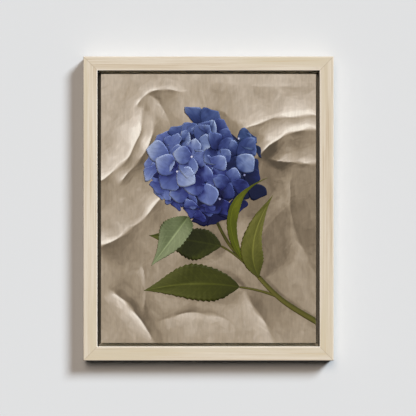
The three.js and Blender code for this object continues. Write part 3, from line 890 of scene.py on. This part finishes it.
# ---- Painted linen ------------------------------------------------------------------------
# The ground of the picture: a beige cloth thrown down in folds, brushed on thinly so that the
# weave of the canvas still shows, with the shade that the sprig throws across it.
CELL = 1.6 * MM  # spacing of the ground's points
GROUND_EDGE = 0.35 * MM
LINEN_TONE = 0.487
SHADE_DEPTH = 0.21
FOLD_STEPS = 64
DABS = 4200
DAB_HALF_LENGTHS = (7, 24)  # millimetres
DAB_HALF_WIDTHS = (2.4, 5.5)
FOLDS = [
    # start, bend and end (shares across and down), reach of the light and of the dark, strength
    ((-0.06, 0.410), (0.150, 0.370), (0.215, 0.085), 0.085, 0.035, 0.54),
    ((0.055, 0.420), (0.200, 0.330), (0.255, 0.150), 0.050, 0.045, 0.52),
    ((-0.06, 0.660), (0.150, 0.590), (0.360, 0.420), 0.050, 0.060, 0.66),
    ((0.150, 0.150), (0.215, 0.040), (0.460, 0.060), 0.030, 0.060, 0.40),
    ((0.215, 0.090), (0.300, 0.090), (0.330, 0.200), 0.025, 0.035, 0.28),
    ((0.620, 0.235), (0.770, 0.105), (1.060, 0.170), 0.034, 0.030, 0.58),
    ((0.700, 0.330), (0.840, 0.165), (1.060, 0.215), 0.050, 0.060, 0.60),
    ((0.760, 0.300), (0.900, 0.345), (1.060, 0.310), 0.060, 0.028, 0.54),
    ((0.010, 0.790), (0.170, 0.850), (0.270, 1.060), 0.044, 0.060, 0.48),
    ((0.170, 0.690), (0.225, 0.780), (0.190, 0.930), 0.040, 0.050, 0.24),
    ((0.235, 0.915), (0.430, 0.850), (0.640, 0.935), 0.030, 0.090, -0.40),
    ((0.600, 0.760), (0.760, 0.840), (0.830, 1.060), 0.080, 0.050, 0.30),
    ((0.900, 0.330), (0.840, 0.560), (1.020, 0.800), 0.090, 0.080, 0.15),
    ((0.480, 0.020), (0.720, 0.060), (1.040, 0.020), 0.070, 0.080, 0.10),
]


def fold_samples(start, bend, end):
    shares = np.linspace(0, 1, FOLD_STEPS)[:, None]
    start, bend, end = (np.array(place) * (1, canvas_size.z / canvas_size.x) for place in (start, bend, end))
    line = bezier(start, bend, end, shares)
    run = np.gradient(line, axis=0)
    towards_light = np.column_stack((run[:, 1], -run[:, 0]))
    if towards_light.sum() > 0:
        towards_light *= -1
    return line, towards_light / np.linalg.norm(towards_light, axis=1, keepdims=True), shares[:, 0]


def along_fold(shares, seed, pace, reach):
    """Slow unevenness along a fold, from 0 to 1."""
    uneven = [noise.noise(Vector((share * pace, seed, 0))) for share in shares]
    return np.clip(0.5 + reach * np.array(uneven), 0, 1)


def fold_tone(spots, start, bend, end, light_reach, dark_reach, strength):
    """How much one fold lightens or darkens each spot: a bright crest, a dark side, long creases."""
    line, normal, shares = fold_samples(start, bend, end)
    gaps = spots[:, None, :] - line[None, :, :]
    nearest = (gaps ** 2).sum(axis=2).argmin(axis=1)
    gap = gaps[np.arange(len(spots)), nearest]
    side = (gap * normal[nearest]).sum(axis=1)
    past_end = np.sqrt(np.maximum((gap ** 2).sum(axis=1) - side ** 2, 0))
    apart = np.hypot(side, np.where(past_end > 0.006, past_end, 0))
    share = shares[nearest]
    taper = np.clip(share / 0.22, 0, 1) * np.clip((1 - share) / 0.3, 0, 1)
    taper = taper * taper * (3 - 2 * taper)
    taper *= (0.45 + 0.8 * along_fold(shares, 7 * start[1], 5, 1.1))[nearest]
    creases = np.zeros(len(spots))
    for k in np.flatnonzero(apart < 0.16):
        creases[k] = noise.noise(Vector((share[k] * 3.1, side[k] * 34, start[0] * 9)))
    creases *= np.exp(-apart / 0.07) * 0.35
    softness = (0.003 + 0.020 * along_fold(shares, 3 * end[0], 6, 1.6) ** 2)[nearest]
    light = 0.80 * np.exp(-apart / light_reach) + 0.50 * np.exp(-apart / 0.009)
    dark = -0.75 * np.exp(-apart / dark_reach)
    crest = np.clip(side / softness + 0.5, 0, 1)
    return strength * taper * (dark + (light - dark) * crest + creases)


def linen_tones(spots):
    across, down = spots[:, 0], spots[:, 1]
    tones = LINEN_TONE + 0.14 * np.exp(-((down / 0.30) ** 2))
    tones -= 0.17 * np.exp(-(((across - 0.98) / 0.30) ** 2) - ((down - 0.74) / 0.36) ** 2)
    tones -= 0.05 * np.exp(-(((across - 0.18) / 0.16) ** 2) - ((down - 0.88) / 0.16) ** 2)
    for fold in FOLDS:
        tones += fold_tone(spots, *fold)
    return tones


def stretch_linen():
    deselect_all()
    size = paint_high - paint_low
    columns, rows = round(size.x / CELL), round(size.z / CELL)
    middle = (paint_low + paint_high) / 2
    bpy.ops.mesh.primitive_grid_add(
        x_subdivisions=columns,
        y_subdivisions=rows,
        size=1,
        location=(middle.x, GROUND, middle.z),
        rotation=(math.pi / 2, 0, 0),
    )
    bpy.ops.transform.resize(value=(size.x, 1, size.z))
    ground = bpy.context.object
    bpy.ops.object.transform_apply(location=True, rotation=True, scale=True)
    return ground


def close_behind():
    """Gives the sheet of paint its edge and its back."""
    bpy.ops.object.mode_set(mode="EDIT")
    bpy.ops.mesh.select_all(action="SELECT")
    bpy.ops.mesh.region_to_loop()
    bpy.ops.mesh.extrude_edges_move(TRANSFORM_OT_translate={"value": (0, GROUND_EDGE, 0)})
    bpy.ops.mesh.edge_face_add()
    bpy.ops.object.mode_set(mode="OBJECT")


def cast_shade(tree, points):
    """The shade of the sprig on the cloth, soft at its edges."""
    window = soft_light(0.14, 6)
    return np.array([openness(tree, Vector(point), window, start=0.5 * MM) for point in points])


def spots_of(points):
    """Places on the picture, as shares of its width across and down."""
    return np.column_stack((points[:, 0] - canvas_low.x, canvas_high.z - points[:, 2])) / canvas_size.x


def warp_of(spots):
    broad = np.array([noise.noise_vector(Vector((u, 0, v)) * 3.4) for u, v in spots])
    fine = np.array([noise.noise_vector(Vector((u, 5, v)) * 12) for u, v in spots])
    return 0.034 * broad + 0.011 * fine


def ground_tones(points):
    spots = spots_of(points)
    tones = linen_tones(spots + warp_of(spots)[:, [0, 2]])
    tones += np.array([0.11 * noise.fractal(Vector((u, 2, v)) * 6, 0.8, 2.1, 4) for u, v in spots])
    flat = points.copy()
    flat[:, 1] = 0
    return tones - SHADE_DEPTH * (1 - cast_shade(shade_tree, flat))


def brushed(tones):
    """Works the tones over with dabs of the brush, which run along the folds."""
    rows, columns = tones.shape
    fall, rise = np.gradient(tones)
    for _ in range(DABS):
        row, column = draw.randrange(rows), draw.randrange(columns)
        steep = min(math.hypot(fall[row, column], rise[row, column]) / 0.020, 1)
        heading = math.atan2(-rise[row, column], fall[row, column])
        if steep < 0.3:
            heading = draw.gauss(math.pi / 2, 0.45)
        heading += draw.gauss(0, 0.10)
        half_length = draw.uniform(*DAB_HALF_LENGTHS) * MM / CELL
        half_width = draw.uniform(*DAB_HALF_WIDTHS) * MM / CELL * (1 - 0.5 * steep)
        reach = int(half_length + half_width) + 1
        top, left = max(row - reach, 0), max(column - reach, 0)
        patch = tones[top:row + reach, left:column + reach]
        down, across = np.mgrid[top:top + patch.shape[0], left:left + patch.shape[1]]
        down, across = down - row, across - column
        run = across * math.cos(heading) + down * math.sin(heading)
        over = down * math.cos(heading) - across * math.sin(heading)
        over += draw.uniform(-0.1, 0.1) * run ** 2 / half_length
        ragged = 0.8 + 0.2 * np.sin(over * draw.uniform(1.5, 3.0) + draw.uniform(0, math.tau))
        cover = np.clip(1.5 * (1 - abs(run) / half_length), 0, 1)
        cover *= np.clip(2.2 * (1 - abs(over) / half_width), 0, 1)
        alike = np.exp(-((patch - tones[row, column]) / 0.11) ** 2)
        patch += (tones[row, column] + draw.gauss(0, 0.035) - patch) * cover * ragged * alike * 0.8
    return tones


def paint_linen():
    ground = stretch_linen()
    points = np.empty(len(ground.data.vertices) * 3)
    ground.data.vertices.foreach_get("co", points)
    points = points.reshape(-1, 3)
    spots = spots_of(points)
    columns = round((paint_high.x - paint_low.x) / CELL) + 1
    tones = brushed(ground_tones(points).reshape(-1, columns)).ravel()
    relief = np.array([noise.fractal(Vector((u * 34, 1, v * 9)), 0.7, 2.0, 3) for u, v in spots])
    points[:, 1] -= 0.05 * MM * relief + 0.10 * MM * np.clip(tones - 0.6, 0, 0.5)
    ground.data.vertices.foreach_set("co", points.ravel())
    strokes = np.column_stack((spots[:, 0] * 95, spots[:, 1] * 16, warp_of(spots)[:, 0] * 70))
    brush_on(ground.data, mixed(tones, "linen"), strokes)
    close_behind()
    return ground


linen = paint_linen()
finish_piece(linen, "painted_linen", painted("linen_paint", 1, 1))
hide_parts("paint_layer")

# ---- Wall pads ----------------------------------------------------------------------------
# Round pads of pressed felt, stuck to the lower corners of the frame's back so that the picture
# hangs upright and doesn't mark the wall.
PAD_ROUND = 0.5 * MM


def felt():
    finish = Finish("pressed_felt", gloss=0.1)
    place = finish.place()
    fibres = finish.noise(place, scale=1500, detail=4, roughness=0.7)
    clumps = finish.noise(place, scale=260)
    tuft = fibres * 0.6 + clumps * 0.4
    colour = finish.ramp(tuft, (0.38, (0.035, 0.034, 0.030, 1)), (0.62, (0.085, 0.082, 0.074, 1)))
    return finish.show(colour, 0.95, fibres, depth=0.3 * MM, strength=0.8)


pressed_felt = felt()
for side in ("left", "right"):
    low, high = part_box(f"wall_pad_{side}")
    deselect_all()
    bpy.ops.mesh.primitive_cylinder_add(
        vertices=48,
        radius=(high.x - low.x) / 2,
        depth=high.y - low.y,
        location=(low + high) / 2,
        rotation=(math.pi / 2, 0, 0),
    )
    pad = bpy.context.object
    pick(pad, "polygons", lambda face: len(face.vertices) > 4)
    bpy.ops.mesh.bevel(offset=PAD_ROUND, segments=3, affect="EDGES")
    finish_piece(pad, f"felt_pad_{side}", pressed_felt)
    pad.data.shade_smooth()
    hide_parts(f"wall_pad_{side}")

# ---- Wall, floor, light and camera --------------------------------------------------------
# A pale grey wall close behind the picture and a pale floor below, a cool lamp up on the right, a
# warm and softer one nearly in front, two dim ones behind, and a long lens square on.


def matt(name, shade):
    finish = Finish(name, gloss=0.0)
    grain = finish.noise(finish.place(), scale=600, detail=2)
    low, high = ((*[shade * share] * 3, 1) for share in (0.995, 1.005))
    finish.show(finish.ramp(grain, (0.3, low), (0.7, high)), 0.9)
    return finish


def see_through_behind(finish):
    """Lets the wall be seen only from the front, so that the picture shows from behind it."""
    behind = finish.node("ShaderNodeNewGeometry", output="Backfacing")
    clear = finish.node("ShaderNodeBsdfTransparent")
    surface = finish.tree.nodes["Material Output"].inputs["Surface"]
    front = Wire(finish, finish.shader.outputs[0])
    finish.join(surface, finish.node("ShaderNodeMixShader", None, {0: behind, 1: front, 2: clear}))


plaster = matt("wall_plaster", 0.80)
see_through_behind(plaster)
deselect_all()
bpy.ops.mesh.primitive_plane_add(size=9, location=(0, 0, 1.2), rotation=(math.pi / 2, 0, 0))
wall = bpy.context.object
wall.name = "wall"
coat(wall, plaster.material)
wall.visible_shadow = False
wall.visible_diffuse = False
wall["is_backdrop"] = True

deselect_all()
bpy.ops.mesh.primitive_plane_add(size=14, location=(0, 0, -1.9))
floor = bpy.context.object
floor.name = "floor"
coat(floor, matt("floor_board", 0.72).material)
floor.visible_diffuse = False
floor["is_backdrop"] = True


def hang_lamp(name, kind, falls, energy, place=(0, 0, 0), **settings):
    """A lamp whose light falls in a direction."""
    lamp = bpy.data.lights.new(name, kind)
    lamp.energy = energy
    for setting, value in settings.items():
        setattr(lamp, setting, value)
    stand = set_out(name, lamp)
    stand.location = place
    stand.rotation_euler = falls.to_track_quat("-Z", "Y").to_euler()
    return lamp


hang_lamp("window", "SUN", Vector((-0.86, 1.0, -0.84)), 3.26, angle=0.31, color=(0.835, 0.921, 1.0))
hang_lamp("softbox", "SUN", Vector((0.12, 1.0, -0.42)), 1.26, angle=0.54, color=(1.0, 0.862, 0.737))
for name, place in (("back_left", Vector((-1.6, 1.7, 0.5))), ("back_right", Vector((1.6, 1.9, 0.9)))):
    back_lamp = hang_lamp(name, "AREA", frame_middle - place, 34, place, size=1.6)
    back_lamp.cycles.max_bounces = 0

world = bpy.data.worlds.new("studio")
bpy.context.scene.world = world
world.use_nodes = True
sky = Nodes(world.node_tree)
seen = sky.node("ShaderNodeLightPath", output="Is Camera Ray")
background = world.node_tree.nodes["Background"]
background.inputs["Color"].default_value = (0.96, 0.98, 1.0, 1)
sky.join(background.inputs["Strength"], 0.012 + seen * 0.64)

DISTANCE = 3.5
VIEW_WIDTH = 0.7846
camera = bpy.data.cameras.new("camera")
camera.lens = 36 * DISTANCE / VIEW_WIDTH
camera_body = set_out("camera", camera)
camera_body.location = (-0.0009, frame_low.y - DISTANCE, frame_middle.z + 0.0010)
camera_body.rotation_euler = (math.pi / 2, 0, 0)
bpy.context.scene.camera = camera_body
bpy.context.scene.view_settings.view_transform = "Standard"

[[list(corner) for corner in box] for box in (cad_box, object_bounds())]
